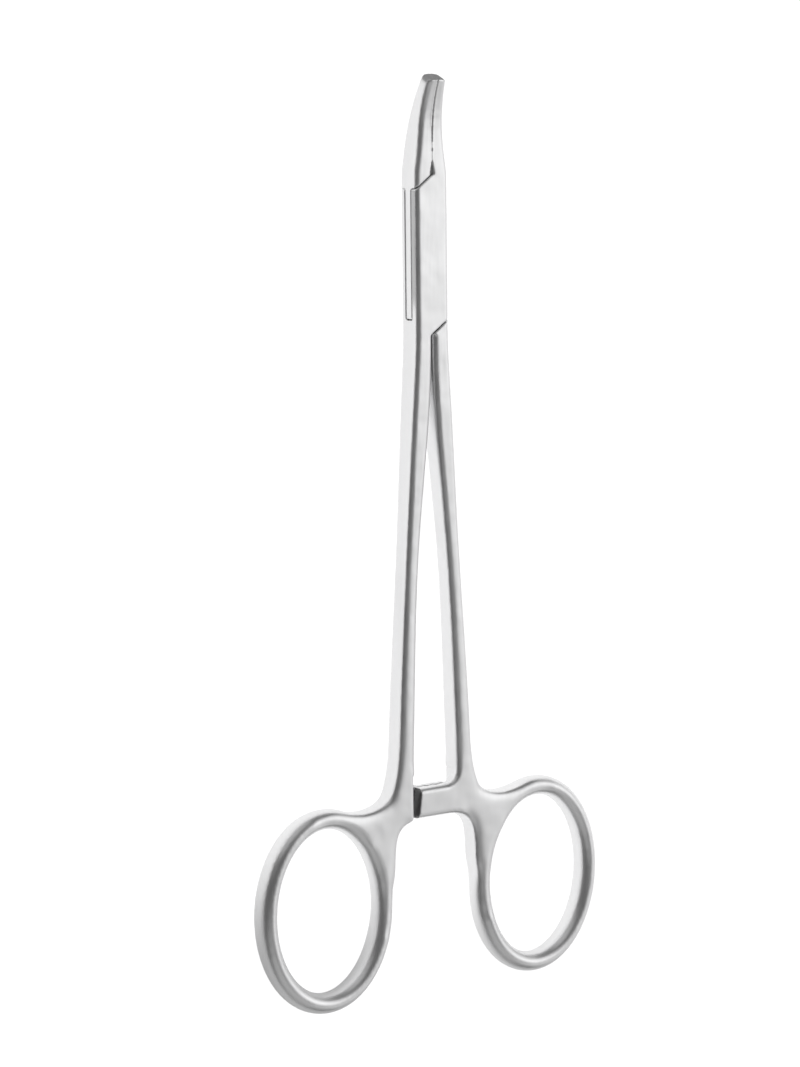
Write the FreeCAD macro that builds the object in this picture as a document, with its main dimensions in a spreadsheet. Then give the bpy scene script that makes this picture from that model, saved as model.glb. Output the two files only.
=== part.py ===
"""A curved needle holder: two forged halves that cross in a box lock, and the pin that joins them.

X runs across the instrument, Y along it from the finger rings to the jaws, and Z up out of the face that it
lies on. The origin is under the middle of the instrument, on that face. Sizes are in millimetres.

Both halves are the same forging, one turned over. Each has a finger ring, a shank, a ratchet arm and, past
the box lock, a jaw on the other side. One half is then milled down to a tongue, and the other is slotted to
take it.
"""
import FreeCAD, Part
import math
import os

import Sketcher

# The driving dimensions: alias, value, what it measures
SIZES = [
    ("box_width", 6.66, "width of the box lock, side to side"),
    ("box_thick", 4.4, "thickness of the box lock, back to front"),
    ("pivot_y", 46.25, "pivot, from the middle of the instrument"),
    ("lock_reach", 12.75, "pivot to each seam of the lock, on the centre line"),
    ("seam_angle", 36.0, "angle of the seams to the width, in degrees"),
    ("seam_gap", 0.14, "clearance across a seam of the lock"),
    ("tongue_thick", 1.5, "thickness of the tongue in the slot"),
    ("slot_clear", 0.05, "clearance between the tongue and each cheek"),
    ("pin_radius", 1.3, "radius of the pivot pin"),
    ("pin_clear", 0.03, "running clearance round the pin in the tongue"),
    ("box_margin", 1.5, "how far the full box runs past a seam, on the centre line"),
    ("edge_round", 0.9, "rounding of the forging's long edges"),
    ("shank_thick", 3.8, "thickness of a shank at its middle"),
    ("shank_neck_out", 3.95, "outer edge of a shank below the box, from the centre line"),
    ("shank_mid_out", 5.4, "outer edge of a shank at its middle"),
    ("shank_low_out", 7.35, "outer edge of a shank above the ratchet"),
    ("shank_foot_out", 8.85, "outer edge of a shank where it turns into the web"),
    ("shank_neck_in", 0.45, "inner edge of a shank below the box"),
    ("shank_mid_in", 2.65, "inner edge of a shank at its middle"),
    ("shank_low_in", 4.15, "inner edge of a shank above the ratchet"),
    ("shank_foot_in", 4.35, "inner edge of a shank at the ratchet arm's fillet"),
    ("shank_neck_drop", 12.3, "where the neck's widths are measured, below the box"),
    ("shank_mid_y", 0.0, "middle of the shanks, along the instrument"),
    ("shank_low_rise", 10.0, "where the low widths are measured, above the ratchet arms"),
    ("crotch_gap", 0.2, "gap between the shanks at the box"),
    ("handle_thick", 4.2, "thickness of the web between shank and ring"),
    ("handle_rise", 8.4, "how far that thickness runs up past the ratchet arms"),
    ("web_dip_out", 13.9, "lowest place of the web's upper edge, from the centre line"),
    ("web_dip_drop", 2.65, "that place, below the ratchet arms' upper edge"),
    ("web_inner_out", 8.3, "the web's inner edge above the ring, from the centre line"),
    ("web_inner_drop", 8.0, "where it turns straight down, below the ratchet arms"),
    ("web_corner", 1.4, "how near it comes to the corner under the arm"),
    ("ring_near", 10.19, "ring's centre line on its inner side, from the instrument's centre line"),
    ("ring_top", -43.23, "ring's centre line at its top, along the instrument"),
    ("ring_half_width", 11.5, "ring's centre line, half its width"),
    ("ring_half_length", 15.06, "ring's centre line, half its length"),
    ("ring_tilt", 1.7, "lean of each ring away from the shanks, in degrees"),
    ("ring_wall", 3.3, "width of the ring's oval section"),
    ("ring_depth", 4.4, "depth of the ring's oval section"),
    ("jaw_start", 62.0, "where the jaws begin to curve"),
    ("jaw_shoulder", 3.6, "length over which the box narrows to the jaws"),
    ("jaw_tip", 74.45, "middle of the tip's end face"),
    ("jaw_bend", 28.0, "radius of the jaws' curve"),
    ("jaw_root_width", 2.9, "width of one jaw where it leaves the box"),
    ("jaw_mid_width", 2.4, "width of one jaw half way along"),
    ("jaw_tip_width", 1.75, "width of one jaw at the tip"),
    ("jaw_tip_thick", 2.4, "thickness of a jaw at the tip"),
    ("jaw_gap", 0.08, "gap between the closed jaws"),
    ("notch_half", 0.45, "half the width of the notch at the jaws' root"),
    ("notch_length", 1.9, "length of that notch"),
    ("arm_low", -45.4, "lower edge of the ratchet arms"),
    ("arm_high", -40.4, "upper edge of the ratchet arms"),
    ("arm_reach", 3.95, "how far an arm reaches past the centre line"),
    ("arm_slant", 0.65, "how much shorter an arm is at its upper edge"),
    ("arm_wall", 4.95, "wall that the other arm's end comes up to"),
    ("arm_gap", 0.12, "gap between the two arms, crest to crest"),
    ("arm_fillet", 2.3, "fillet between an arm and its own shank"),
    ("arm_root", 2.2, "where an arm's lower edge runs into the web"),
    ("tooth_start", 0.8, "first tooth, from the arm's end"),
    ("tooth_pitch", 1.8, "spacing of the ratchet teeth"),
    ("tooth_land", 0.3, "flat crest of a tooth"),
    ("tooth_depth", 0.55, "depth of the ratchet teeth"),
    ("tooth_count", 3, "teeth on each arm"),
]

RIGHT = 1
LEFT = -1
# How far a cutter runs past the metal that it clears
OVERRUN = 2.0
# Coordinates closer than this are the same, and a cut that takes less than this volume takes nothing
SAME = 1e-6
LEAST_CUT = 1e-3
# Where the web meets the ring, in degrees round it, and the share of the half wall that it reaches out to
WEB_ABOVE = 93.0
WEB_BELOW = 181.0
WEB_REACH = 0.8
# Directions of the outer edge at the foot of the shank, of the web at the ring, and of the jaw at its tip
FOOT_SLOPE = (0.36, -0.93)
RING_SLOPE = (1.0, 0.06)
TIP_SLOPE = (0.08, 1.0)


def make_sheet(doc):
    """The spreadsheet of driving dimensions."""
    sheet = doc.addObject("Spreadsheet::Sheet", "sizes")
    for row, (alias, value, meaning) in enumerate(SIZES, start=1):
        sheet.set(f"A{row}", meaning)
        sheet.set(f"B{row}", str(value))
        sheet.setAlias(f"B{row}", alias)
    doc.recompute()
    return sheet


def new_sketch(body, name, role, height=None):
    """A sketch on the origin plane of its body that has this role, raised off it by the expression height."""
    sketch = body.newObject("Sketcher::SketchObject", name)
    plane = next(item for item in body.Origin.OriginFeatures if item.Role == role)
    sketch.AttachmentSupport = [(plane, "")]
    sketch.MapMode = "FlatFace"
    if height:
        sketch.setExpression("AttachmentOffset.Base.z", height)
    return sketch


def pocket(body, name, sketch, length=None, is_reversed=False, is_both_ways=False):
    """Cut a sketch out of the body, right through or over the expression length."""
    cut = body.newObject("PartDesign::Pocket", name)
    cut.Profile = sketch
    if length:
        cut.setExpression("Length", length)
    else:
        cut.Type = "ThroughAll"
    cut.Reversed = is_reversed
    if is_both_ways:
        cut.SideType = "Symmetric"
    return cut


def point(x, y):
    """A point of a flat outline."""
    return FreeCAD.Vector(x, y, 0)


def line(start, end):
    """A straight edge."""
    return Part.LineSegment(start, end)


def smooth(points, first, last):
    """A smooth curve through points, with its directions at the two ends."""
    run = [0.0]
    for start, end in zip(points, points[1:]):
        run.append(run[-1] + start.distanceToPoint(end))
    curve = Part.BSplineCurve()
    curve.interpolate(Points=points, Parameters=run, Scale=False, InitialTangent=first.normalize(),
                      FinalTangent=last.normalize())
    return curve


def polygon(points):
    """Straight edges round points, closed."""
    return [line(start, end) for start, end in zip(points, points[1:] + points[:1])]


class Half:
    """One forged half. It is drawn with its shank on the right, and side turns it over for the left one."""

    def __init__(self, doc, sheet, name, side):
        self.get = sheet.get
        self.side = side
        self.body = doc.addObject("PartDesign::Body", name)
        self.body.Label = name
        self.middle = self.get("box_thick") / 2
        self.half_width = self.get("box_width") / 2
        self.box_end = self.get("pivot_y") - self.get("lock_reach") + self.get("box_margin")
        self.neck_y = self.box_end - self.get("shank_neck_drop")
        self.ring_x = self.get("ring_near") + self.get("ring_half_width")
        self.ring_y = self.get("ring_top") - self.get("ring_half_length")
        self.low_y = self.get("arm_high") + self.get("shank_low_rise")
        self.volume = 0.0

    def at(self, x, y):
        """A point of the plan, mirrored for the left half."""
        return point(self.side * x, y)

    def seam_y(self, x, end, lean, offset):
        """Where a seam of the lock crosses x.

        end is -1 at the shanks and 1 at the jaws, lean is the sign of its slope, and offset moves it away
        from the pivot.
        """
        angle = math.radians(self.get("seam_angle"))
        middle = self.get("pivot_y") + end * (self.get("lock_reach") + offset / math.cos(angle))
        return middle + lean * x * math.tan(angle)

    def ring_point(self, degrees, outward=0.0):
        """A point of the plan on the ring's centre line, or outward times half its wall outside it."""
        get = self.get
        more = outward * get("ring_wall") / 2
        x = (get("ring_half_width") + more) * math.cos(math.radians(degrees))
        y = (get("ring_half_length") + more) * math.sin(math.radians(degrees))
        lean = math.radians(get("ring_tilt"))
        return self.at(self.ring_x + x * math.cos(lean) + y * math.sin(lean),
                       self.ring_y - x * math.sin(lean) + y * math.cos(lean))

    def shank_edges(self):
        """The shank's outer edge from the box down, and the upper edge of the web on to the ring."""
        get = self.get
        top = self.at(self.half_width, self.seam_y(self.half_width, 1, -1, -get("seam_gap") / 2))
        low = self.at(self.half_width, self.box_end)
        foot = self.at(get("shank_foot_out"), get("arm_high"))
        stations = [low, self.at(get("shank_neck_out"), self.neck_y),
                    self.at(get("shank_mid_out"), get("shank_mid_y")),
                    self.at(get("shank_low_out"), self.low_y), foot]
        dip = self.at(get("web_dip_out"), get("arm_high") - get("web_dip_drop"))
        web = [foot, dip, self.ring_point(WEB_ABOVE, WEB_REACH)]
        return [line(top, low), smooth(stations, self.at(0, -1), self.at(*FOOT_SLOPE)),
                smooth(web, self.at(*FOOT_SLOPE), self.at(*RING_SLOPE))]

    def web_inner_edge(self, arm_root):
        """The web's edge from the ring's inner side up to the root of the ratchet arm."""
        get = self.get
        inner = get("web_inner_out")
        low = get("arm_low")
        corner = get("web_corner")
        stations = [self.ring_point(WEB_BELOW, WEB_REACH), self.at(inner, low - get("web_inner_drop")),
                    self.at(inner - corner, low - corner), arm_root]
        return smooth(stations, self.at(0, 1), self.at(-1, 0))

    def inner_edges(self, crotch):
        """The fillet above the ratchet arm, and the shank's inner edge up to the crotch at the box."""
        get = self.get
        bend = get("arm_fillet")
        centre_x = get("shank_foot_in") - bend
        centre_y = get("arm_high") + bend
        reach = bend * math.sqrt(0.5)
        start = self.at(centre_x, get("arm_high"))
        end = self.at(get("shank_foot_in"), centre_y)
        stations = [end, self.at(get("shank_low_in"), self.low_y),
                    self.at(get("shank_mid_in"), get("shank_mid_y")),
                    self.at(get("shank_neck_in"), self.neck_y), crotch]
        return [Part.Arc(start, self.at(centre_x + reach, centre_y - reach), end),
                smooth(stations, self.at(0, 1), self.at(0, 1))]

    def jaw_edge(self, foot, tip):
        """The outer edge of the jaw, which lies on the other side of the centre line."""
        get = self.get
        stations = [foot, self.at(-get("jaw_root_width"), get("jaw_start")),
                    self.at(-get("jaw_mid_width"), (get("jaw_start") + get("jaw_tip")) / 2), tip]
        return smooth(stations, self.at(0, 1), self.at(*TIP_SLOPE))

    def draw_plan(self):
        """The closed outline of the forging, and which of its edges are rounded."""
        get = self.get
        seam = -get("seam_gap") / 2
        half = self.half_width
        box_side, outer, web = self.shank_edges()
        inside = [self.ring_point(WEB_ABOVE + share * (WEB_BELOW - WEB_ABOVE))
                  for share in (0, 0.25, 0.5, 0.75, 1)]
        arm_root = self.at(get("arm_root"), get("arm_low"))
        arm_low = self.at(-get("arm_reach"), get("arm_low"))
        arm_high = self.at(-get("arm_reach") + get("arm_slant"), get("arm_high"))
        crotch = self.at(get("crotch_gap") / 2, self.seam_y(0, -1, 0, seam))
        fillet, inner = self.inner_edges(crotch)
        box_low = self.at(-half, self.seam_y(-half, -1, -1, seam))
        jaw_foot = self.at(-half, get("jaw_start") - get("jaw_shoulder"))
        meet = get("jaw_gap") / 2
        tip_out = self.at(-get("jaw_tip_width"), get("jaw_tip") + OVERRUN)
        tip_in = self.at(-meet, get("jaw_tip") + OVERRUN)
        notch_y = self.seam_y(0, 1, 0, seam)
        notch_top = self.at(-meet, notch_y + get("notch_length"))
        notch_foot = self.at(-get("notch_half"), notch_y)
        centre = self.at(0, notch_y)
        web_inner = self.web_inner_edge(arm_root)
        ring_in = web_inner.StartPoint
        rounded = [box_side, outer, web, web_inner, line(arm_root, arm_low),
                   line(arm_high, fillet.StartPoint), fillet, inner, line(box_low, jaw_foot),
                   self.jaw_edge(jaw_foot, tip_out)]
        hidden = [line(start, end) for start, end in
                  zip([web.EndPoint, *inside], [*inside, ring_in])]
        sharp = [line(arm_low, arm_high), line(crotch, box_low), line(tip_out, tip_in),
                 line(tip_in, notch_top), line(notch_top, notch_foot), line(notch_foot, centre),
                 line(centre, box_side.StartPoint)]
        return rounded, hidden + sharp

    def face_outline(self, face):
        """The back (-1) or front (1) surface in the side view, Y across and Z up, from rings to tip."""
        get = self.get
        start = get("jaw_start")
        bend = get("jaw_bend")
        turn = math.asin((get("jaw_tip") - start) / bend)
        box_half = get("box_thick") / 2
        tip_half = get("jaw_tip_thick") / 2

        def level(y, thick):
            return point(y, self.middle + face * thick / 2)

        def on_jaw(angle, half):
            return point(start + (bend - face * half) * math.sin(angle),
                         self.middle + bend - (bend - face * half) * math.cos(angle))

        handle = level(self.ring_y - 2 * get("ring_half_length"), get("handle_thick"))
        web = level(get("arm_high") + get("handle_rise"), get("handle_thick"))
        box = level(get("pivot_y") - get("lock_reach") - get("box_margin"), get("box_thick"))
        jaw = level(start, get("box_thick"))
        tip = on_jaw(turn, tip_half)
        rise = turn + face * math.atan((tip_half - box_half) / (bend * turn))
        shank = smooth([web, level(get("shank_mid_y"), get("shank_thick")), box], point(1, 0), point(1, 0))
        curve = smooth([jaw, on_jaw(turn / 2, (box_half + tip_half) / 2), tip], point(1, 0),
                       point(math.cos(rise), math.sin(rise)))
        return [line(handle, web), shank, line(box, jaw), curve], handle, tip

    def forge(self, doc):
        """Pad the plan, cut it to the side view and round its long edges."""
        get = self.get
        body = self.body
        rounded, others = self.draw_plan()
        plan = new_sketch(body, "plan", "XY_Plane")
        plan.addGeometry(rounded + others)
        self.bind_plan(plan)
        blank = body.newObject("PartDesign::Pad", "blank")
        blank.Profile = plan
        blank.setExpression("Length", "sizes.box_thick * 3")

        back, back_start, back_tip = self.face_outline(-1)
        front, front_start, front_tip = self.face_outline(1)
        beyond = get("jaw_tip") + 5 * OVERRUN
        below = -OVERRUN
        above = get("box_thick") * 3 + OVERRUN
        under = new_sketch(body, "back_view", "YZ_Plane")
        under.addGeometry(back + open_ring([back_tip, point(beyond, back_tip.y), point(beyond, below),
                                            point(back_start.x, below), back_start]))
        back_cut = pocket(body, "back_face", under, is_both_ways=True)
        over = new_sketch(body, "front_view", "YZ_Plane")
        over.addGeometry(front + open_ring([front_tip, back_tip, point(beyond, back_tip.y),
                                            point(beyond, above), point(front_start.x, above), front_start]))
        front_cut = pocket(body, "front_face", over, is_both_ways=True)
        doc.recompute()
        self.volume = blank.Shape.Volume
        self.check_cut(back_cut)
        self.check_cut(front_cut)

        soft = body.newObject("PartDesign::Fillet", "soft_edges")
        soft.Base = (front_cut, long_edges(front_cut.Shape, rounded))
        soft.setExpression("Radius", "sizes.edge_round")
        doc.recompute()
        self.check_cut(soft)

    def check_cut(self, cut):
        """Stop if the newest cut took nothing away."""
        left = cut.Shape.Volume
        if left > self.volume - LEAST_CUT:
            raise RuntimeError(f"{cut.Name} cuts nothing")
        self.volume = left

    def bind_plan(self, plan):
        """Tie the straight sides of the box to the sheet."""
        for index, curve in enumerate(plan.Geometry):
            if curve.TypeId != "Part::GeomLineSegment":
                continue
            x = curve.StartPoint.x
            if abs(x - curve.EndPoint.x) < SAME and abs(abs(x) - self.half_width) < SAME:
                plan.addConstraint(Sketcher.Constraint("Vertical", index))
                sign = "" if x > 0 else "-"
                name = plan.addConstraint(Sketcher.Constraint("DistanceX", -1, 1, index, 1, x))
                plan.setExpression(f"Constraints[{name}]", f"{sign}sizes.box_width / 2")

    def add_ring(self, doc):
        """The finger ring: an oval section swept round an oval."""
        get = self.get
        path = new_sketch(self.body, "ring_path", "XY_Plane", "sizes.box_thick / 2")
        top = self.ring_point(90)
        path.addGeometry(Part.Ellipse(top, self.ring_point(0), self.at(self.ring_x, self.ring_y)))
        section = new_sketch(self.body, "ring_section", "YZ_Plane")
        turn = FreeCAD.Rotation(FreeCAD.Vector(0, 1, 0), -self.side * get("ring_tilt"))
        section.AttachmentOffset = FreeCAD.Placement(FreeCAD.Vector(top.y, self.middle, top.x), turn)
        section.addGeometry(Part.Ellipse(point(0, get("ring_depth") / 2), point(get("ring_wall") / 2, 0),
                                         point(0, 0)))
        ring = self.body.newObject("PartDesign::AdditivePipe", "finger_ring")
        ring.Profile = section
        ring.Spine = path
        doc.recompute()

    def lock_region(self, turned):
        """The plan of the lock between its seams, as the cutter runs over it. turned is the seams' lean."""
        far = self.half_width + 2 * OVERRUN
        offset = self.get("seam_gap") / 2
        corners = [(-far, -1), (far, -1), (far, 1), (-far, 1)]
        return polygon([self.at(x, self.seam_y(x, end, turned, offset)) for x, end in corners])

    def mill_ratchet(self, doc, is_front):
        """Mill half the thickness off the ratchet arm's place, and cut the teeth into what is left."""
        get = self.get
        sign = 1 if is_front else -1
        face = f"sizes.box_thick / 2 + {sign} * sizes.arm_gap / 2"
        crest = self.middle + sign * get("arm_gap") / 2
        relief = new_sketch(self.body, "arm_relief", "XY_Plane", face)
        low = get("arm_low") - OVERRUN
        high = get("arm_high") + get("arm_fillet")
        wall = get("arm_wall")
        far = -get("arm_reach") - OVERRUN
        relief.addGeometry(polygon([self.at(far, low), self.at(wall, low), self.at(wall, high),
                                    self.at(far, high)]))
        cut = pocket(self.body, "arm_face", relief, is_reversed=not is_front)
        doc.recompute()
        self.check_cut(cut)

        teeth = new_sketch(self.body, "teeth", "XZ_Plane")
        teeth.AttachmentOffset = FreeCAD.Placement(FreeCAD.Vector(0, 0, -low), FreeCAD.Rotation())
        width = get("tooth_pitch") - get("tooth_land")
        for number in range(int(get("tooth_count"))):
            foot = -get("arm_reach") + get("tooth_start") + number * get("tooth_pitch")
            outline = [(foot, -get("arm_gap")), (foot, 0), (foot + width / 4, get("tooth_depth")),
                       (foot + width, 0), (foot + width, -get("arm_gap"))]
            teeth.addGeometry(polygon([point(self.side * x, crest + sign * z) for x, z in outline]))
        grooves = pocket(self.body, "tooth_grooves", teeth, f"sizes.arm_high - sizes.arm_low + {2 * OVERRUN}")
        doc.recompute()
        self.check_cut(grooves)

    def bore(self, doc, radius):
        """The round hole for the pivot pin, with the expression radius."""
        hole = new_sketch(self.body, "bore_circle", "XY_Plane")
        add_circle(hole, point(0, self.get("pivot_y")), radius, "sizes.pivot_y")
        cut = pocket(self.body, "bore", hole, is_reversed=True)
        doc.recompute()
        self.check_cut(cut)


def open_ring(points):
    """Straight edges from point to point."""
    return [line(start, end) for start, end in zip(points, points[1:])]


def add_circle(sketch, centre, radius, height):
    """A circle on the sketch's vertical axis, with its radius and height tied to the sheet."""
    circle = sketch.addGeometry(Part.Circle(centre, FreeCAD.Vector(0, 0, 1), 1.0))
    sketch.addConstraint(Sketcher.Constraint("PointOnObject", circle, 3, -2))
    place = sketch.addConstraint(Sketcher.Constraint("DistanceY", -1, 1, circle, 3, centre.y))
    size = sketch.addConstraint(Sketcher.Constraint("Radius", circle, 1.0))
    sketch.setExpression(f"Constraints[{place}]", height)
    sketch.setExpression(f"Constraints[{size}]", radius)


def long_edges(shape, curves):
    """Names of the shape's edges, back and front, that lie over the plan's curves."""
    shapes = [curve.toShape() for curve in curves]
    names = []
    for index, edge in enumerate(shape.Edges, start=1):
        first, last = edge.ParameterRange
        if abs(edge.tangentAt((first + last) / 2).z) > 0.9:
            continue
        spots = [edge.valueAt(first + share * (last - first)) for share in (0.2, 0.5, 0.8)]
        flat = [Part.Vertex(spot.x, spot.y, 0) for spot in spots]
        if any(all(spot.distToShape(curve)[0] < 0.01 for spot in flat) for curve in shapes):
            names.append(f"Edge{index}")
    return names


def make_tongue_half(doc, sheet):
    """The half with the right shank and ring and the left jaw. It passes through the other as a tongue."""
    half = Half(doc, sheet, "tongue_half", RIGHT)
    half.forge(doc)
    for name, height, is_reversed in (("tongue_front", "(sizes.box_thick + sizes.tongue_thick) / 2", True),
                                      ("tongue_back", "(sizes.box_thick - sizes.tongue_thick) / 2", False)):
        region = new_sketch(half.body, name + "_plan", "XY_Plane", height)
        region.addGeometry(half.lock_region(1))
        cut = pocket(half.body, name, region, is_reversed=is_reversed)
        doc.recompute()
        half.check_cut(cut)
    half.bore(doc, "sizes.pin_radius + sizes.pin_clear")
    half.mill_ratchet(doc, True)
    half.add_ring(doc)
    return half.body


def make_box_half(doc, sheet):
    """The half with the left shank and ring and the right jaw, slotted between a front and a back cheek."""
    half = Half(doc, sheet, "box_half", LEFT)
    half.forge(doc)
    slot = new_sketch(half.body, "slot_plan", "XY_Plane",
                      "(sizes.box_thick - sizes.tongue_thick) / 2 - sizes.slot_clear")
    slot.addGeometry(half.lock_region(1))
    cut = pocket(half.body, "slot", slot, "sizes.tongue_thick + 2 * sizes.slot_clear", is_reversed=True)
    doc.recompute()
    half.check_cut(cut)
    half.bore(doc, "sizes.pin_radius")
    half.mill_ratchet(doc, False)
    half.add_ring(doc)
    return half.body


def make_pivot_pin(doc, sheet):
    """The plain pin, fixed in the cheeks and ground flush with both faces of the box."""
    body = doc.addObject("PartDesign::Body", "pivot_pin")
    body.Label = "pivot_pin"
    circle = new_sketch(body, "pin_circle", "XY_Plane")
    add_circle(circle, point(0, sheet.get("pivot_y")), "sizes.pin_radius", "sizes.pivot_y")
    pad = body.newObject("PartDesign::Pad", "pin")
    pad.Profile = circle
    pad.setExpression("Length", "sizes.box_thick")
    return body


def check_document(doc, bodies):
    """Stop if an object failed to build or a piece is empty or broken."""
    doc.recompute()
    for item in doc.Objects:
        if "Invalid" in item.State or "Error" in item.State:
            raise RuntimeError(f"{item.Name}: {item.State}")
    for body in bodies:
        if body.Shape.isNull() or not body.Shape.isValid() or len(body.Shape.Solids) != 1:
            raise RuntimeError(f"{body.Name} is not one sound solid")


def main():
    """Build the instrument and write each piece to its own file."""
    doc = FreeCAD.newDocument("needle_holder")
    sheet = make_sheet(doc)
    bodies = [make_box_half(doc, sheet), make_tongue_half(doc, sheet), make_pivot_pin(doc, sheet)]
    check_document(doc, bodies)
    os.makedirs("parts", exist_ok=True)
    for body in bodies:
        body.Shape.exportStep(f"parts/{body.Label}.step")
        box = body.Shape.optimalBoundingBox(False)
        print(body.Label, round(body.Shape.Volume, 1), "mm3,",
              [round(value, 2) for value in (box.XMin, box.XMax, box.YMin, box.YMax, box.ZMin, box.ZMax)])


main()
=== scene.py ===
"""The looks of a curved needle holder in satin steel, lying on a white table in soft studio light.

Everything is in metres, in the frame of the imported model: X runs across the instrument, Y from the finger
rings to the jaws, and Z up from the table.
"""
import logging
import math
from collections.abc import Callable
from dataclasses import dataclass
from enum import Enum

import bmesh
import bpy
from mathutils import Matrix, Vector


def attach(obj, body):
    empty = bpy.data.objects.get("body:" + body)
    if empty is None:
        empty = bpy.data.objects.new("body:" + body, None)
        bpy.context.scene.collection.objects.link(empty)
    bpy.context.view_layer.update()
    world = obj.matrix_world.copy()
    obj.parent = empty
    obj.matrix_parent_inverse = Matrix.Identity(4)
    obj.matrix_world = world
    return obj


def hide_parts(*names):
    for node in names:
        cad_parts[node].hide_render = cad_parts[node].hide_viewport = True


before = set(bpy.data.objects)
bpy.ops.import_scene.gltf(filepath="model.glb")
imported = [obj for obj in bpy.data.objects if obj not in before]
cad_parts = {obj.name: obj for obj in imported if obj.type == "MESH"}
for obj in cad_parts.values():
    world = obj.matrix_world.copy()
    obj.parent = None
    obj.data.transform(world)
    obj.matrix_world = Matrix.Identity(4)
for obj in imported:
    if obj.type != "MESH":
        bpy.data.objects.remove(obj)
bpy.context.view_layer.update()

log = logging.getLogger("needle_holder")

MM = 0.001
SMOOTHING = 0.5  # how far one round of smoothing moves a point towards its neighbours


class Side(Enum):
    """Which way a half's own metal lies from the centre line at its jaw."""

    LEFT = -1
    RIGHT = 1


class Finish(Enum):
    """The finishes on the instrument, by the record's slot."""

    BODY = "satin_steel"


class Nodes:
    """A node tree, with short ways to add and join nodes."""

    def __init__(self, tree: bpy.types.NodeTree) -> None:
        """Start on an empty tree.

        Args:
            tree: the tree to fill.
        """
        self.tree = tree
        tree.nodes.clear()

    def add(self, kind: str, **settings: object) -> bpy.types.Node:
        """Add a node.

        Args:
            kind: the node's type name.
            settings: its properties.

        Returns:
            The new node.
        """
        node = self.tree.nodes.new(kind)
        for key, value in settings.items():
            setattr(node, key, value)
        return node

    def join(self, source: bpy.types.NodeSocket, target: bpy.types.NodeSocket) -> None:
        """Link one socket to another."""
        self.tree.links.new(source, target)

    def math(self, operation: str, first: object, second: object = 0.0) -> bpy.types.NodeSocket:
        """Work out one sum.

        Args:
            operation: the Math node's operation.
            first: a socket or a number.
            second: a socket or a number.

        Returns:
            The result's socket.
        """
        node = self.add("ShaderNodeMath", operation=operation)
        for slot, value in enumerate((first, second)):
            if isinstance(value, bpy.types.NodeSocket):
                self.join(value, node.inputs[slot])
            else:
                node.inputs[slot].default_value = value
        return node.outputs[0]

    def fade(self, value: bpy.types.NodeSocket, low: float, high: float,
             start: float = 0.0, end: float = 1.0) -> bpy.types.NodeSocket:
        """Go smoothly from one level to another.

        Args:
            value: the socket that is read.
            low: the value at which the change starts.
            high: the value at which it is done.
            start: the level before it.
            end: the level after it.

        Returns:
            The level's socket.
        """
        node = self.add("ShaderNodeMapRange", interpolation_type="SMOOTHSTEP")
        for key, number in (("From Min", low), ("From Max", high), ("To Min", start), ("To Max", end)):
            node.inputs[key].default_value = number
        self.join(value, node.inputs["Value"])
        return node.outputs["Result"]


@dataclass(frozen=True)
class PaintedShade:
    """A small box where painted shade darkens the steel's colour on the walls that face sideways.

    share is how much of the colour is left under the painted shade, and facing is the normal's X at which the
    painted shade starts and is full. across, along and up are spans in metres: where it starts, is full, is no
    longer full and ends.
    """

    share: float
    facing: tuple[float, float]
    across: tuple[float, float, float, float]
    along: tuple[float, float, float, float]
    up: tuple[float, float, float, float]

    def build(self, nodes: Nodes) -> bpy.types.NodeSocket:
        """Work out the colour's factor for the painted shade.

        Args:
            nodes: the material's nodes.

        Returns:
            The share of the colour left under the painted shade in the box, and 1 elsewhere.
        """
        source = nodes.add("ShaderNodeTexCoord")
        place = nodes.add("ShaderNodeSeparateXYZ")
        nodes.join(source.outputs["Object"], place.inputs["Vector"])
        normal = nodes.add("ShaderNodeSeparateXYZ")
        nodes.join(source.outputs["Normal"], normal.inputs["Vector"])
        inside = nodes.fade(nodes.math("ABSOLUTE", normal.outputs["X"]), *self.facing)
        for axis, (start, full_from, full_to, end) in zip("XYZ", (self.across, self.along, self.up)):
            inside = nodes.math("MULTIPLY", inside, nodes.fade(place.outputs[axis], start, full_from))
            inside = nodes.math("MULTIPLY", inside, nodes.fade(place.outputs[axis], end, full_to))
        return nodes.math("SUBTRACT", 1.0, nodes.math("MULTIPLY", inside, 1.0 - self.share))


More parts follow.
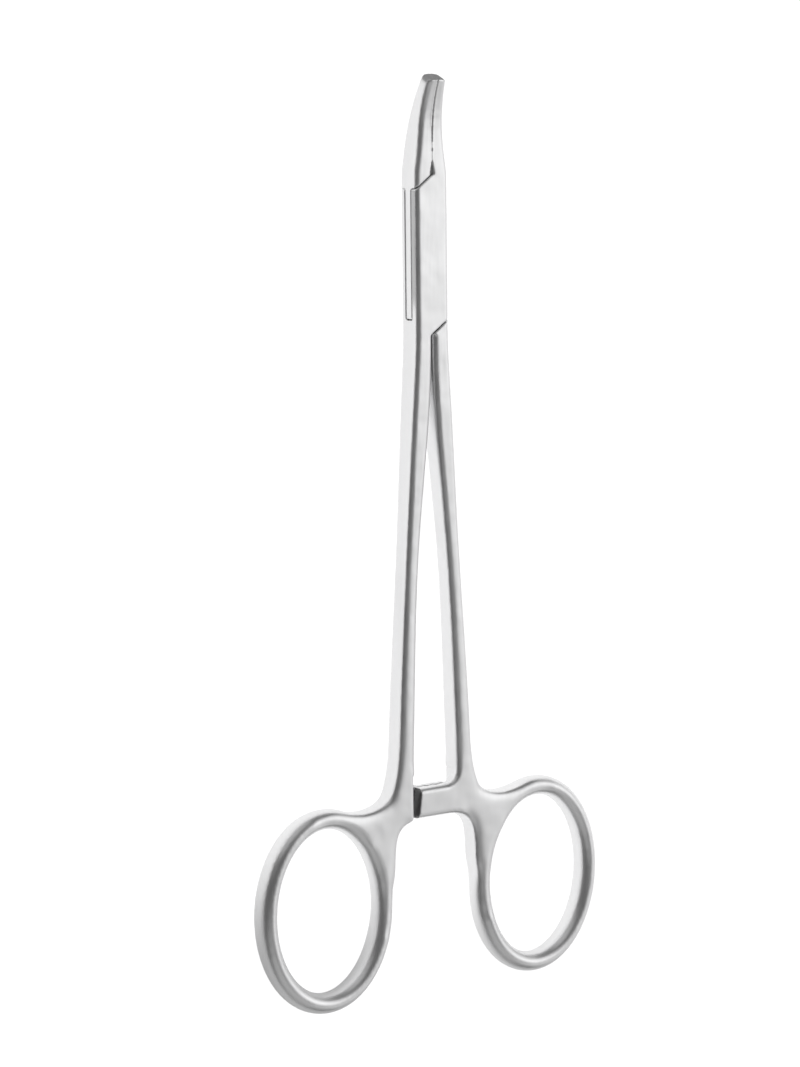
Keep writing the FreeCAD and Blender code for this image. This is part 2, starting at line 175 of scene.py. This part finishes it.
@dataclass(frozen=True)
class SatinSteel:
    """Stainless steel, blasted and brushed to an even satin.

    The grain is fine pits from blasting, the brush is faint lines along the instrument, the cloud is the slow
    change of polish from handling and washing, and the waves are what hand polishing leaves in flat faces.
    Its colour is darkened as painted shade in the crevice where the front ratchet arm ends beside the shank,
    and on the side of the lock's front cheek. The details are the noises' octaves. Sizes are in metres.
    """

    name: str
    colour: tuple[float, float, float, float] = (0.80, 0.80, 0.805, 1.0)
    worn_colour: tuple[float, float, float, float] = (0.88, 0.88, 0.882, 1.0)
    roughness: float = 0.38
    roughness_spread: float = 0.14
    grain_size: float = 0.00012
    grain_depth: float = 0.000004
    grain_detail: float = 2.0
    brush_size: float = 0.00018
    brush_stretch: float = 0.04
    brush_depth: float = 0.000002
    cloud_size: float = 0.006
    wave_size: float = 0.0035
    wave_depth: float = 0.00009
    wave_detail: float = 1.0
    painted_shade: tuple[PaintedShade, ...] = (
        # Painted shade: the colour is darkened to 0.30 in the crevice where the front ratchet arm ends beside
        # the shank.
        PaintedShade(share=0.30, facing=(0.35, 0.75), across=(-0.0047, -0.0045, -0.0021, -0.0019),
                  along=(-0.0464, -0.0459, -0.0399, -0.0394), up=(0.0, 0.0006, 0.0074, 0.0080)),
        # Painted shade: the side of the lock's front cheek, beside the slot, is darkened to 0.58 of the
        # colour.
        PaintedShade(share=0.58, facing=(0.86, 0.95), across=(-0.0042, -0.0040, -0.0026, -0.0024),
                  along=(0.0365, 0.0400, 0.0567, 0.0569), up=(0.00290, 0.00298, 0.0045, 0.0046)),
    )

    def noise(self, nodes: Nodes, place: bpy.types.NodeSocket, size: float,
              stretch: float = 1.0, detail: float = 3.0) -> bpy.types.NodeSocket:
        """Add a noise of a real size.

        Args:
            nodes: the material's nodes.
            place: the point that it reads.
            size: the width of one speck.
            stretch: the scale along Y, below one for lines that run that way.
            detail: the noise's octaves.

        Returns:
            The noise, from 0 to 1.
        """
        scale = 1.0 / size
        mapping = nodes.add("ShaderNodeMapping")
        mapping.inputs["Scale"].default_value = (scale, scale * stretch, scale)
        texture = nodes.add("ShaderNodeTexNoise")
        texture.inputs["Scale"].default_value = 1.0
        texture.inputs["Detail"].default_value = detail
        nodes.join(place, mapping.inputs["Vector"])
        nodes.join(mapping.outputs["Vector"], texture.inputs["Vector"])
        return texture.outputs["Fac"]

    def build(self) -> bpy.types.Material:
        """Make the material.

        Returns:
            The material.
        """
        material = bpy.data.materials.new(self.name)
        material.use_nodes = True
        nodes = Nodes(material.node_tree)
        place = nodes.add("ShaderNodeTexCoord").outputs["Object"]
        cloud = self.noise(nodes, place, self.cloud_size)
        grain = self.noise(nodes, place, self.grain_size, detail=self.grain_detail)
        brush = self.noise(nodes, place, self.brush_size, stretch=self.brush_stretch)

        shader = nodes.add("ShaderNodeBsdfPrincipled")
        shader.inputs["Metallic"].default_value = 1.0
        colour = nodes.add("ShaderNodeMix", data_type="RGBA")
        colour.inputs["A"].default_value = self.colour
        colour.inputs["B"].default_value = self.worn_colour
        nodes.join(cloud, colour.inputs["Factor"])
        # Painted shade: the boxes' factors are multiplied into the base colour.
        share = 1.0
        for shade_patch in self.painted_shade:
            share = nodes.math("MULTIPLY", shade_patch.build(nodes), share)
        shaded_colour = nodes.add("ShaderNodeVectorMath", operation="SCALE")
        nodes.join(colour.outputs["Result"], shaded_colour.inputs["Vector"])
        nodes.join(share, shaded_colour.inputs["Scale"])
        nodes.join(shaded_colour.outputs["Vector"], shader.inputs["Base Color"])

        spread = nodes.math("MULTIPLY", nodes.math("ADD", cloud, brush), self.roughness_spread)
        roughness = nodes.math("ADD", spread, self.roughness - self.roughness_spread)
        nodes.join(roughness, shader.inputs["Roughness"])

        pits = nodes.add("ShaderNodeBump")
        pits.inputs["Distance"].default_value = self.grain_depth
        lines = nodes.add("ShaderNodeBump")
        lines.inputs["Distance"].default_value = self.brush_depth
        waves = nodes.add("ShaderNodeBump")
        waves.inputs["Distance"].default_value = self.wave_depth
        swell = self.noise(nodes, place, self.wave_size, detail=self.wave_detail)
        nodes.join(swell, waves.inputs["Height"])
        nodes.join(waves.outputs["Normal"], pits.inputs["Normal"])
        nodes.join(grain, pits.inputs["Height"])
        nodes.join(brush, lines.inputs["Height"])
        nodes.join(pits.outputs["Normal"], lines.inputs["Normal"])
        nodes.join(lines.outputs["Normal"], shader.inputs["Normal"])

        output = nodes.add("ShaderNodeOutputMaterial")
        nodes.join(shader.outputs["BSDF"], output.inputs["Surface"])
        return material


def place_piece(piece: bpy.types.Object, body: str) -> None:
    """Hand a finished piece to its body.

    Args:
        piece: the piece, in place.
        body: the body that it rides on.
    """
    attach(piece, body)
    log.info("%s: %d faces, rides on %s", piece.name, len(piece.data.polygons), body)


@dataclass(frozen=True)
class JawShape:
    """The jaws' curve in the side view: a bend that starts at the box and lifts the tips off the table.

    halves gives half the jaws' thickness at distances along the curve.
    """

    start: float = 0.062
    bend: float = 0.028
    middle: float = 0.0022
    tip_y: float = 0.07445
    halves: tuple[tuple[float, float], ...] = (
        (0.0010, 0.00220), (0.0030, 0.00208), (0.0050, 0.00189), (0.0070, 0.00169),
        (0.0090, 0.00151), (0.0110, 0.00136), (0.0130, 0.00123),
    )

    @property
    def length(self) -> float:
        """Length of the curve, from the start to the tip."""
        return self.bend * math.asin((self.tip_y - self.start) / self.bend)

    def flat(self, place: Vector) -> tuple[float, float]:
        """Unroll a point of the side view.

        Args:
            place: the point, in the model's frame.

        Returns:
            How far along the jaws it is, and how far it is in front of their middle.
        """
        along = place.y - self.start
        lift = self.middle + self.bend - place.z
        if along < 0:
            return along, place.z - self.middle
        return self.bend * math.atan2(along, lift), self.bend - math.hypot(along, lift)

    def rolled(self, along: float, out: float) -> tuple[float, float]:
        """Bend a point of the unrolled side view back; the opposite of flat.

        Args:
            along: how far along the jaws the point is.
            out: how far in front of their middle it is.

        Returns:
            Its Y and its Z.
        """
        if along < 0:
            return self.start + along, self.middle + out
        turn = along / self.bend
        radius = self.bend - out
        return self.start + radius * math.sin(turn), self.middle + self.bend - radius * math.cos(turn)

    def half_thick(self, along: float) -> float:
        """Half the jaws' thickness at a distance along them."""
        for (first, thick), (last, thin) in zip(self.halves, self.halves[1:]):
            if along < last:
                share = max((along - first) / (last - first), 0.0)
                return thick + share * (thin - thick)
        return self.halves[-1][1]


@dataclass(frozen=True)
class Grip:
    """The cross-cut pattern on the jaws' faces: rows of small pyramids in a shallow bed.

    The bed has a plain rim, where the closed jaws meet, at the distance meeting from the centre line. The
    edges round the faces are squared up within edge_reach and edge_depth, and corner is the share of those
    over which the corner is spread.
    """

    first: float = -0.0006
    closed_from: float = 0.0609
    rim: float = 0.00035
    meeting: float = 0.000004
    bed: float = 0.00017
    height: float = 0.00014
    pitch: float = 0.00042
    crest: float = 0.2
    edge_reach: float = 0.00026
    edge_depth: float = 0.00018
    corner: float = 0.7


def ramp(value: float, low: float, high: float) -> float:
    """Go smoothly from 0 at low to 1 at high.

    Args:
        value: where to read it.
        low: where it is 0.
        high: where it is 1.

    Returns:
        The share, from 0 to 1.
    """
    share = min(max((value - low) / (high - low), 0.0), 1.0)
    return share * share * (3 - 2 * share)


@dataclass(frozen=True)
class Easing:
    """Where hand polishing rounds the forging more than its machined lock.

    These places are the shanks above the ratchet, the web between shank and ring, the joint where the web
    runs into the ring, and the tips. shank_y has the four places along Y where the shanks' rounding starts, is
    full, is no longer full and ends. Each rounds is how often the place is smoothed.
    """

    even_rounds: int = 3
    shank_rounds: int = 90
    web_rounds: int = 240
    joint_rounds: int = 120
    tip_rounds: int = 30
    shank_y: tuple[float, float, float, float] = (-0.0450, -0.0405, -0.0280, 0.0080)
    arm_y: tuple[float, float] = (-0.0385, -0.0350)
    arm_x: tuple[float, float] = (0.0050, 0.0066)
    web_line: tuple[tuple[float, float], ...] = (
        (0.0092, -0.0600), (0.0092, -0.0450), (0.0205, -0.0427),
    )
    web_full: float = 0.0026
    web_reach: float = 0.0048
    web_from_arm: tuple[float, float] = (0.0052, 0.0070)
    joint_at: tuple[float, float] = (0.0095, -0.0580)
    joint_full: float = 0.0015
    joint_reach: float = 0.0038
    tip_y: tuple[float, float] = (0.0728, 0.0745)
    tip_reach: tuple[float, float] = (0.0003, 0.0009)

    def shank(self, place: Vector, side: int) -> float:
        """How much a point belongs to the shank, clear of the ratchet arm.

        Args:
            place: the point.
            side: 1 for the right-hand shank, -1 for the left.

        Returns:
            Its share, from 0 to 1.
        """
        low, full_from, full_to, high = self.shank_y
        off_arm = max(ramp(place.y, *self.arm_y), ramp(place.x * side, *self.arm_x))
        return ramp(place.y, low, full_from) * (1 - ramp(place.y, full_to, high)) * off_arm

    def web(self, place: Vector, side: int) -> float:
        """How much a point belongs to the web between shank and ring.

        Args:
            place: the point.
            side: 1 for the right-hand ring, -1 for the left.

        Returns:
            Its share, from 0 to 1.
        """
        spot = Vector((place.x * side, place.y))
        nearest = self.web_reach
        for first, last in zip(self.web_line, self.web_line[1:]):
            a = Vector(first)
            run = Vector(last) - a
            share = min(max((spot - a).dot(run) / run.length_squared, 0.0), 1.0)
            nearest = min(nearest, (spot - a - run * share).length)
        return (1 - ramp(nearest, self.web_full, self.web_reach)) * ramp(spot.x, *self.web_from_arm)

    def joint(self, place: Vector, side: int) -> float:
        """How much a point belongs to the place where the web runs into the ring, from 0 to 1."""
        away = math.dist((place.x * side, place.y), self.joint_at)
        return 1 - ramp(away, self.joint_full, self.joint_reach)

    def tip(self, place: Vector, side: int) -> float:
        """How much a point belongs to the tip of the jaw on this side, away from where the jaws meet."""
        return ramp(place.y, *self.tip_y) * ramp(place.x * side, *self.tip_reach)


@dataclass
class ForgedHalf:
    """One half of the instrument, from its solids, with the soft edges that polishing leaves.

    nodes are the solids that it stands for: the forging, and the pin where it is fixed in it and ground
    flush.
    """

    name: str
    nodes: tuple[str, ...]
    body: str
    jaw: Side
    steel: bpy.types.Material
    jaws: JawShape
    grip: Grip
    easing: Easing
    voxel: float = 0.00016
    weld_mm: float = 0.001
    most_triangles: int = 190000
    sharp_angle: float = math.radians(65)

    def solid(self) -> bpy.types.Mesh:
        """Copy the solids, merged, in millimetres so that the remesh keeps its small steps.

        Returns:
            The copy.
        """
        shell = bmesh.new()
        for node in self.nodes:
            shell.from_mesh(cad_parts[node].data)
        bmesh.ops.transform(shell, matrix=Matrix.Scale(1 / MM, 4), verts=shell.verts)
        bmesh.ops.remove_doubles(shell, verts=shell.verts, dist=self.weld_mm)
        mesh = bpy.data.meshes.new(self.name)
        shell.to_mesh(mesh)
        shell.free()
        return mesh

    def even(self) -> bpy.types.Object:
        """Remesh the solids evenly.

        Returns:
            An object with the even mesh, in metres.
        """
        draft = bpy.data.objects.new(self.name + "_draft", self.solid())
        bpy.context.scene.collection.objects.link(draft)
        remesh = draft.modifiers.new("even", "REMESH")
        remesh.mode = "VOXEL"
        remesh.voxel_size = self.voxel / MM
        mesh = evaluated_mesh(draft)
        bpy.data.objects.remove(draft)
        mesh.transform(Matrix.Scale(MM, 4))
        piece = bpy.data.objects.new(self.name, mesh)
        bpy.context.scene.collection.objects.link(piece)
        return piece

    def ease(self, piece: bpy.types.Object) -> None:
        """Round the edges, a little all over and more along the shank and the web and at the tip.

        Args:
            piece: the half's object, whose mesh is exchanged.
        """
        ring_side = -self.jaw.value
        add_smoothing(piece, "all", self.easing.even_rounds)
        add_smoothing(piece, "shank", self.easing.shank_rounds,
                      lambda place: self.easing.shank(place, ring_side))
        web = add_smoothing(piece, "web", self.easing.web_rounds,
                            lambda place: self.easing.web(place, ring_side))
        web.use_x = web.use_y = False
        add_smoothing(piece, "joint", self.easing.joint_rounds,
                      lambda place: self.easing.joint(place, ring_side))
        add_smoothing(piece, "tip", self.easing.tip_rounds,
                      lambda place: self.easing.tip(place, self.jaw.value))
        mesh = evaluated_mesh(piece)
        piece.modifiers.clear()
        piece.vertex_groups.clear()
        piece.data = mesh

    def close_jaws(self, mesh: bpy.types.Mesh) -> None:
        """Bring the closed jaws together at their rims, and sink the bed of the pattern inside them.

        The rims' rounded edges are squared up, so that the two jaws read as one smooth bar.

        Args:
            mesh: the half's mesh, changed in place.
        """
        grip, side = self.grip, self.jaw.value
        for vertex in mesh.vertices:
            reach = vertex.co.x * side
            if vertex.co.y < grip.closed_from or reach > grip.edge_reach:
                continue
            along, out = self.jaws.flat(vertex.co)
            half = self.jaws.half_thick(along)
            if abs(out) < half - grip.rim and grip.first < along < self.jaws.length - 2 * grip.rim:
                vertex.co.x = grip.bed * side
                continue
            near = min((grip.edge_reach - reach) / (grip.edge_reach - grip.meeting) / grip.corner, 1.0)
            deep = max((half - abs(out)) / grip.edge_depth, 0.0)
            if deep < 1:
                deep = max((deep - 1 + grip.corner) / grip.corner, 0.0)
                raised = math.copysign(half - deep * grip.edge_depth, out)
                vertex.co.y, vertex.co.z = self.jaws.rolled(along, raised)
            vertex.co.x = (grip.edge_reach - near * (grip.edge_reach - grip.meeting)) * side

    def thin(self, piece: bpy.types.Object) -> None:
        """Take out triangles where the surface is flat."""
        thin = piece.modifiers.new("thin", "DECIMATE")
        thin.ratio = min(self.most_triangles / triangle_count(piece.data), 1.0)
        mesh = evaluated_mesh(piece)
        piece.modifiers.clear()
        piece.data = mesh

    def build(self) -> bpy.types.Object:
        """Make the piece and put it in the place of its solids.

        Returns:
            The piece.
        """
        piece = self.even()
        self.ease(piece)
        self.close_jaws(piece.data)
        self.thin(piece)
        piece.data.materials.clear()
        piece.data.materials.append(self.steel)
        piece.data.shade_smooth()
        piece.data.set_sharp_from_angle(angle=self.sharp_angle)
        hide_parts(*self.nodes)
        place_piece(piece, self.body)
        return piece


def evaluated_mesh(piece: bpy.types.Object) -> bpy.types.Mesh:
    """The mesh that an object's modifiers leave, as a mesh of its own."""
    graph = bpy.context.evaluated_depsgraph_get()
    return bpy.data.meshes.new_from_object(piece.evaluated_get(graph))


def triangle_count(mesh: bpy.types.Mesh) -> int:
    """How many triangles a mesh makes."""
    return sum(len(face.vertices) - 2 for face in mesh.polygons)


def add_smoothing(piece: bpy.types.Object, name: str, rounds: int,
                  share_at: Callable[[Vector], float] | None = None) -> bpy.types.Modifier:
    """Add a Smooth modifier.

    Args:
        piece: the object that gets it.
        name: its name.
        rounds: how often it smooths.
        share_at: how much each point is smoothed, from 0 to 1; all points fully when there is none.

    Returns:
        The modifier.
    """
    smooth = piece.modifiers.new(name, "SMOOTH")
    smooth.factor = SMOOTHING
    smooth.iterations = rounds
    if share_at:
        group = piece.vertex_groups.new(name=name)
        smooth.vertex_group = name
        for vertex in piece.data.vertices:
            share = share_at(vertex.co)
            if share > 0:
                group.add([vertex.index], share, "REPLACE")
    return smooth


@dataclass
class GripPattern:
    """The pyramids on one jaw's face.

    A node tree lays them out flat and bends them on to the jaw. grid_share is the slanted grid's side, as a
    share of the jaw's length, and corners is the number of a pyramid's corners.
    """

    name: str
    body: str
    jaw: Side
    steel: bpy.types.Material
    jaws: JawShape
    grip: Grip
    grid_share: float = 1.5
    corners: int = 4

    def values(self) -> dict[str, object]:
        """The tree's inputs, by name."""
        grip, jaws = self.grip, self.jaws
        last = jaws.length - 3 * grip.rim
        return {"Pitch": grip.pitch, "Height": grip.height, "Crest": grip.crest,
                "First": grip.first + grip.rim, "Last": last, "Rim": grip.rim + grip.pitch / 2,
                "Half Root": jaws.half_thick(0.0), "Half Tip": jaws.half_thick(jaws.length),
                "Length": jaws.length,
                "Start": jaws.start, "Bend": jaws.bend, "Middle": jaws.middle,
                "Bed": grip.bed, "Side": float(self.jaw.value), "Steel": self.steel}

    def tree(self) -> bpy.types.NodeTree:
        """Build the node tree: a slanted grid, pyramids on it, trimmed to the bed and bent on to the jaw.

        Returns:
            The tree.
        """
        tree = bpy.data.node_groups.new(self.name, "GeometryNodeTree")
        nodes = Nodes(tree)
        for key, value in self.values().items():
            kind = "NodeSocketMaterial" if key == "Steel" else "NodeSocketFloat"
            tree.interface.new_socket(key, in_out="INPUT", socket_type=kind)
        tree.interface.new_socket("Geometry", in_out="OUTPUT", socket_type="NodeSocketGeometry")
        size = nodes.add("NodeGroupInput").outputs

        span = nodes.math("MULTIPLY", size["Length"], self.grid_share)
        count = nodes.math("ROUND", nodes.math("DIVIDE", span, size["Pitch"]))
        grid = nodes.add("GeometryNodeMeshGrid")
        nodes.join(nodes.math("MULTIPLY", count, size["Pitch"]), grid.inputs["Size X"])
        nodes.join(nodes.math("MULTIPLY", count, size["Pitch"]), grid.inputs["Size Y"])
        nodes.join(nodes.math("ADD", count, 1.0), grid.inputs["Vertices X"])
        nodes.join(nodes.math("ADD", count, 1.0), grid.inputs["Vertices Y"])
        slant = nodes.add("GeometryNodeTransform")
        slant.inputs["Rotation"].default_value = (0.0, 0.0, math.pi / 4)
        shift = nodes.add("ShaderNodeCombineXYZ")
        nodes.join(nodes.math("MULTIPLY", size["Length"], 0.5), shift.inputs["X"])
        nodes.join(grid.outputs["Mesh"], slant.inputs["Geometry"])
        nodes.join(shift.outputs["Vector"], slant.inputs["Translation"])

        flat = nodes.add("ShaderNodeSeparateXYZ")
        nodes.join(nodes.add("GeometryNodeInputPosition").outputs["Position"], flat.inputs["Vector"])
        taper = nodes.math("MULTIPLY", nodes.math("SUBTRACT", size["Half Tip"], size["Half Root"]),
                           nodes.math("DIVIDE", flat.outputs["X"], size["Length"]))
        half = nodes.math("SUBTRACT", nodes.math("ADD", size["Half Root"], taper), size["Rim"])
        outside = nodes.math("MAXIMUM", nodes.math("LESS_THAN", flat.outputs["X"], size["First"]),
                             nodes.math("GREATER_THAN", flat.outputs["X"], size["Last"]))
        outside = nodes.math("MAXIMUM", outside,
                             nodes.math("GREATER_THAN", nodes.math("ABSOLUTE", flat.outputs["Y"]), half))
        trim = nodes.add("GeometryNodeDeleteGeometry", domain="POINT")
        nodes.join(slant.outputs["Geometry"], trim.inputs["Geometry"])
        nodes.join(outside, trim.inputs["Selection"])

        pyramid = nodes.add("GeometryNodeMeshCone", fill_type="NGON")
        pyramid.inputs["Vertices"].default_value = self.corners
        foot = nodes.math("MULTIPLY", size["Pitch"], math.sqrt(0.5))
        nodes.join(foot, pyramid.inputs["Radius Bottom"])
        nodes.join(nodes.math("MULTIPLY", foot, size["Crest"]), pyramid.inputs["Radius Top"])
        nodes.join(size["Height"], pyramid.inputs["Depth"])
        rows = nodes.add("GeometryNodeInstanceOnPoints")
        nodes.join(trim.outputs["Geometry"], rows.inputs["Points"])
        nodes.join(pyramid.outputs["Mesh"], rows.inputs["Instance"])
        real = nodes.add("GeometryNodeRealizeInstances")
        nodes.join(rows.outputs["Instances"], real.inputs["Geometry"])

        turn = nodes.math("DIVIDE", flat.outputs["X"], size["Bend"])
        radius = nodes.math("SUBTRACT", size["Bend"], flat.outputs["Y"])
        bent = nodes.add("ShaderNodeCombineXYZ")
        nodes.join(nodes.math("MULTIPLY", size["Side"],
                              nodes.math("SUBTRACT", size["Bed"], flat.outputs["Z"])), bent.inputs["X"])
        nodes.join(nodes.math("ADD", size["Start"], nodes.math("MULTIPLY", radius, nodes.math("SINE", turn))),
                   bent.inputs["Y"])
        drop = nodes.math("MULTIPLY", radius, nodes.math("COSINE", turn))
        rise = nodes.math("SUBTRACT", size["Bend"], drop)
        nodes.join(nodes.math("ADD", size["Middle"], rise), bent.inputs["Z"])
        bend = nodes.add("GeometryNodeSetPosition")
        nodes.join(real.outputs["Geometry"], bend.inputs["Geometry"])
        nodes.join(bent.outputs["Vector"], bend.inputs["Position"])
        dress = nodes.add("GeometryNodeSetMaterial")
        nodes.join(bend.outputs["Geometry"], dress.inputs["Geometry"])
        nodes.join(size["Steel"], dress.inputs["Material"])
        result = nodes.add("NodeGroupOutput")
        nodes.join(dress.outputs["Geometry"], result.inputs["Geometry"])
        return tree

    def build(self) -> bpy.types.Object:
        """Make the pattern and let it ride with its jaw.

        Returns:
            The piece.
        """
        host = bpy.data.objects.new(self.name + "_draft", bpy.data.meshes.new(self.name + "_draft"))
        bpy.context.scene.collection.objects.link(host)
        pattern = host.modifiers.new("pattern", "NODES")
        pattern.node_group = self.tree()
        values = self.values()
        for item in pattern.node_group.interface.items_tree:
            if item.in_out == "INPUT":
                pattern[item.identifier] = values[item.name]
        mesh = evaluated_mesh(host)
        bpy.data.objects.remove(host)
        shell = bmesh.new()
        shell.from_mesh(mesh)
        bmesh.ops.recalc_face_normals(shell, faces=shell.faces)
        shell.to_mesh(mesh)
        shell.free()
        piece = bpy.data.objects.new(self.name, mesh)
        bpy.context.scene.collection.objects.link(piece)
        place_piece(piece, self.body)
        return piece


@dataclass(frozen=True)
class Viewpoint:
    """The camera of the photograph. It looks down on the instrument from its left.

    turn leans it to the left and rise towards the jaws, in degrees, and roll turns it about its own line of
    sight. near is where its sight starts.
    """

    turn: float = 37.34
    rise: float = 6.71
    roll: float = -0.63
    distance: float = 0.5195
    aim: tuple[float, float, float] = (-0.00561, 0.00146, 0.0022)
    lens: float = 108.66
    near: float = 0.01

    def build(self) -> None:
        """Make the camera and look through it."""
        turn, rise, roll = (math.radians(angle) for angle in (self.turn, self.rise, self.roll))
        back = Vector((-math.sin(turn) * math.cos(rise), math.sin(rise),
                       math.cos(turn) * math.cos(rise)))
        level = Vector((math.cos(turn), 0.0, math.sin(turn)))
        upward = back.cross(level)
        right = level * math.cos(roll) + upward * math.sin(roll)
        up = upward * math.cos(roll) - level * math.sin(roll)
        place = Matrix((right, up, back)).transposed().to_4x4()
        place.translation = Vector(self.aim) + back * self.distance
        data = bpy.data.cameras.new("camera")
        data.lens = self.lens
        data.clip_start = self.near
        camera = bpy.data.objects.new("camera", data)
        camera.matrix_world = place
        bpy.context.scene.collection.objects.link(camera)
        bpy.context.scene.camera = camera


@dataclass(frozen=True)
class Glow:
    """A soft patch of light on the room's walls: which way it lies, how bright it is and how far it spreads.

    full and end are angles from its middle, in degrees: it is even up to the first and gone at the second.
    """

    way: tuple[float, float, float]
    strength: float
    full: float
    end: float

    def build(self, nodes: Nodes, way: bpy.types.NodeSocket) -> bpy.types.NodeSocket:
        """Add the patch.

        Args:
            nodes: the room's nodes.
            way: the direction that is looked in.

        Returns:
            Its brightness in that direction.
        """
        dot = nodes.add("ShaderNodeVectorMath", operation="DOT_PRODUCT")
        dot.inputs[1].default_value = Vector(self.way).normalized()
        nodes.join(way, dot.inputs[0])
        return nodes.fade(dot.outputs["Value"], math.cos(math.radians(self.end)),
                          math.cos(math.radians(self.full)), 0.0, self.strength)


@dataclass(frozen=True)
class Studio:
    """A white table in a dim room, with a large soft light on the right.

    What the steel mirrors of the table is white under the instrument, as with a white card laid under it, and
    fades past the tips and towards the corner by the left ring. card_top has the places along Y where it
    starts and stops fading past the tips, and card_corner those of the other fade, along X + card_slant * Y.
    The room's walls are white up to wall_height, where they lie far enough to the sides: wall_sides has the X
    at which they start to be and fully are. brightest is the most that the lights on them add up to.
    """

    floor_half: float = 4.0
    floor_colour: tuple[float, float, float, float] = (0.65, 0.65, 0.65, 1.0)
    floor_glow: float = 0.85
    floor_roughness: float = 0.9
    card_top: tuple[float, float] = (0.0740, 0.0782)
    card_corner: tuple[float, float] = (-0.245, -0.165)
    card_slant: float = 3.0
    card_low: float = 0.34
    room_dim: float = 0.11
    wall_height: float = 0.06
    wall_sides: tuple[float, float] = (0.3, 0.8)
    brightest: float = 1.2
    glows: tuple[Glow, ...] = (
        Glow((0.62, 0.18, 0.765), 0.74, 8.0, 34.0),
        Glow((0.60, -0.56, 0.58), 0.42, 6.0, 24.0),
        Glow((1.0, 0.0, 0.1), 0.55, 15.0, 60.0),
        Glow((-0.15, -0.75, 0.65), 0.36, 15.0, 42.0),
        Glow((-0.35, 0.88, 0.30), 0.40, 12.0, 38.0),
    )
    lamp_way: tuple[float, float, float] = (0.62, 0.16, 0.77)
    lamp_distance: float = 1.3
    lamp_size: float = 0.6
    lamp_power: float = 0.42

    def lay_floor(self) -> None:
        """Make the table top: white where it is lit, with the object's shadow left on it."""
        mesh = bpy.data.meshes.new("floor")
        half = self.floor_half
        corners = [(-half, -half, 0.0), (half, -half, 0.0), (half, half, 0.0), (-half, half, 0.0)]
        mesh.from_pydata(corners, [], [(0, 1, 2, 3)])
        material = bpy.data.materials.new("white_table")
        material.use_nodes = True
        nodes = Nodes(material.node_tree)
        rays = nodes.add("ShaderNodeLightPath")
        place = nodes.add("ShaderNodeSeparateXYZ")
        nodes.join(nodes.add("ShaderNodeTexCoord").outputs["Object"], place.inputs["Vector"])
        white_to, gone_at = self.card_top
        lean = nodes.math("MULTIPLY", place.outputs["Y"], self.card_slant)
        slanted = nodes.math("ADD", place.outputs["X"], lean)
        card = nodes.math("MULTIPLY", nodes.fade(slanted, *self.card_corner, self.card_low),
                          nodes.fade(place.outputs["Y"], gone_at, white_to))
        mirrored = nodes.math("MAXIMUM", rays.outputs["Is Glossy Ray"], rays.outputs["Is Transmission Ray"])
        seen = nodes.math("MAXIMUM", rays.outputs["Is Camera Ray"], nodes.math("MULTIPLY", mirrored, card))
        shader = nodes.add("ShaderNodeBsdfPrincipled")
        shader.inputs["Base Color"].default_value = self.floor_colour
        shader.inputs["Roughness"].default_value = self.floor_roughness
        shader.inputs["Specular IOR Level"].default_value = 0.0
        shader.inputs["Emission Color"].default_value = (1.0, 1.0, 1.0, 1.0)
        nodes.join(nodes.math("MULTIPLY", seen, self.floor_glow), shader.inputs["Emission Strength"])
        output = nodes.add("ShaderNodeOutputMaterial")
        nodes.join(shader.outputs["BSDF"], output.inputs["Surface"])
        mesh.materials.append(material)
        floor = bpy.data.objects.new("floor", mesh)
        bpy.context.scene.collection.objects.link(floor)

    def fill_room(self) -> None:
        """Make the room's light: dim walls, white low down, with the soft patches on them."""
        world = bpy.data.worlds.new("room")
        world.use_nodes = True
        nodes = Nodes(world.node_tree)
        way = nodes.add("ShaderNodeTexCoord").outputs["Generated"]
        part = nodes.add("ShaderNodeSeparateXYZ")
        nodes.join(way, part.inputs["Vector"])
        wall = nodes.fade(part.outputs["Z"], self.wall_height, 0.0)
        sideways = nodes.fade(nodes.math("ABSOLUTE", part.outputs["X"]), *self.wall_sides)
        level = nodes.math("ADD", nodes.math("MULTIPLY", wall, sideways), self.room_dim)
        for glow in self.glows:
            level = nodes.math("ADD", level, glow.build(nodes, way))
        light = nodes.add("ShaderNodeBackground")
        light.inputs["Color"].default_value = (1.0, 1.0, 1.0, 1.0)
        nodes.join(nodes.math("MINIMUM", level, self.brightest), light.inputs["Strength"])
        output = nodes.add("ShaderNodeOutputWorld")
        nodes.join(light.outputs["Background"], output.inputs["Surface"])
        bpy.context.scene.world = world

    def hang_lamp(self) -> None:
        """Make the soft lamp over the instrument's right side."""
        data = bpy.data.lights.new("soft_lamp", "AREA")
        data.size = self.lamp_size
        data.energy = self.lamp_power
        lamp = bpy.data.objects.new("soft_lamp", data)
        way = Vector(self.lamp_way).normalized()
        lamp.location = way * self.lamp_distance
        lamp.rotation_euler = way.to_track_quat("Z", "Y").to_euler()
        bpy.context.scene.collection.objects.link(lamp)

    def build(self) -> None:
        """Set up the floor, the room and the lamp."""
        self.lay_floor()
        self.fill_room()
        self.hang_lamp()
        bpy.context.scene.view_settings.view_transform = "Standard"


def main() -> None:
    """Build the instrument and its surroundings in order."""
    logging.basicConfig(level=logging.INFO, format="%(name)s: %(message)s")
    steel = SatinSteel("satin_steel").build()
    jaws, grip, easing = JawShape(), Grip(), Easing()
    halves = (
        ("tongue", ("tongue_half",), "tongue_side", Side.LEFT),
        ("box", ("box_half", "pivot_pin"), "box_side", Side.RIGHT),
    )
    for name, nodes, body, jaw in halves:
        ForgedHalf(name + "_half_polished", nodes, body, jaw, steel, jaws, grip, easing).build()
        GripPattern(name + "_half_grip", body, jaw, steel, jaws, grip).build()
    Studio().build()
    Viewpoint().build()


if __name__ == "__main__":
    main()
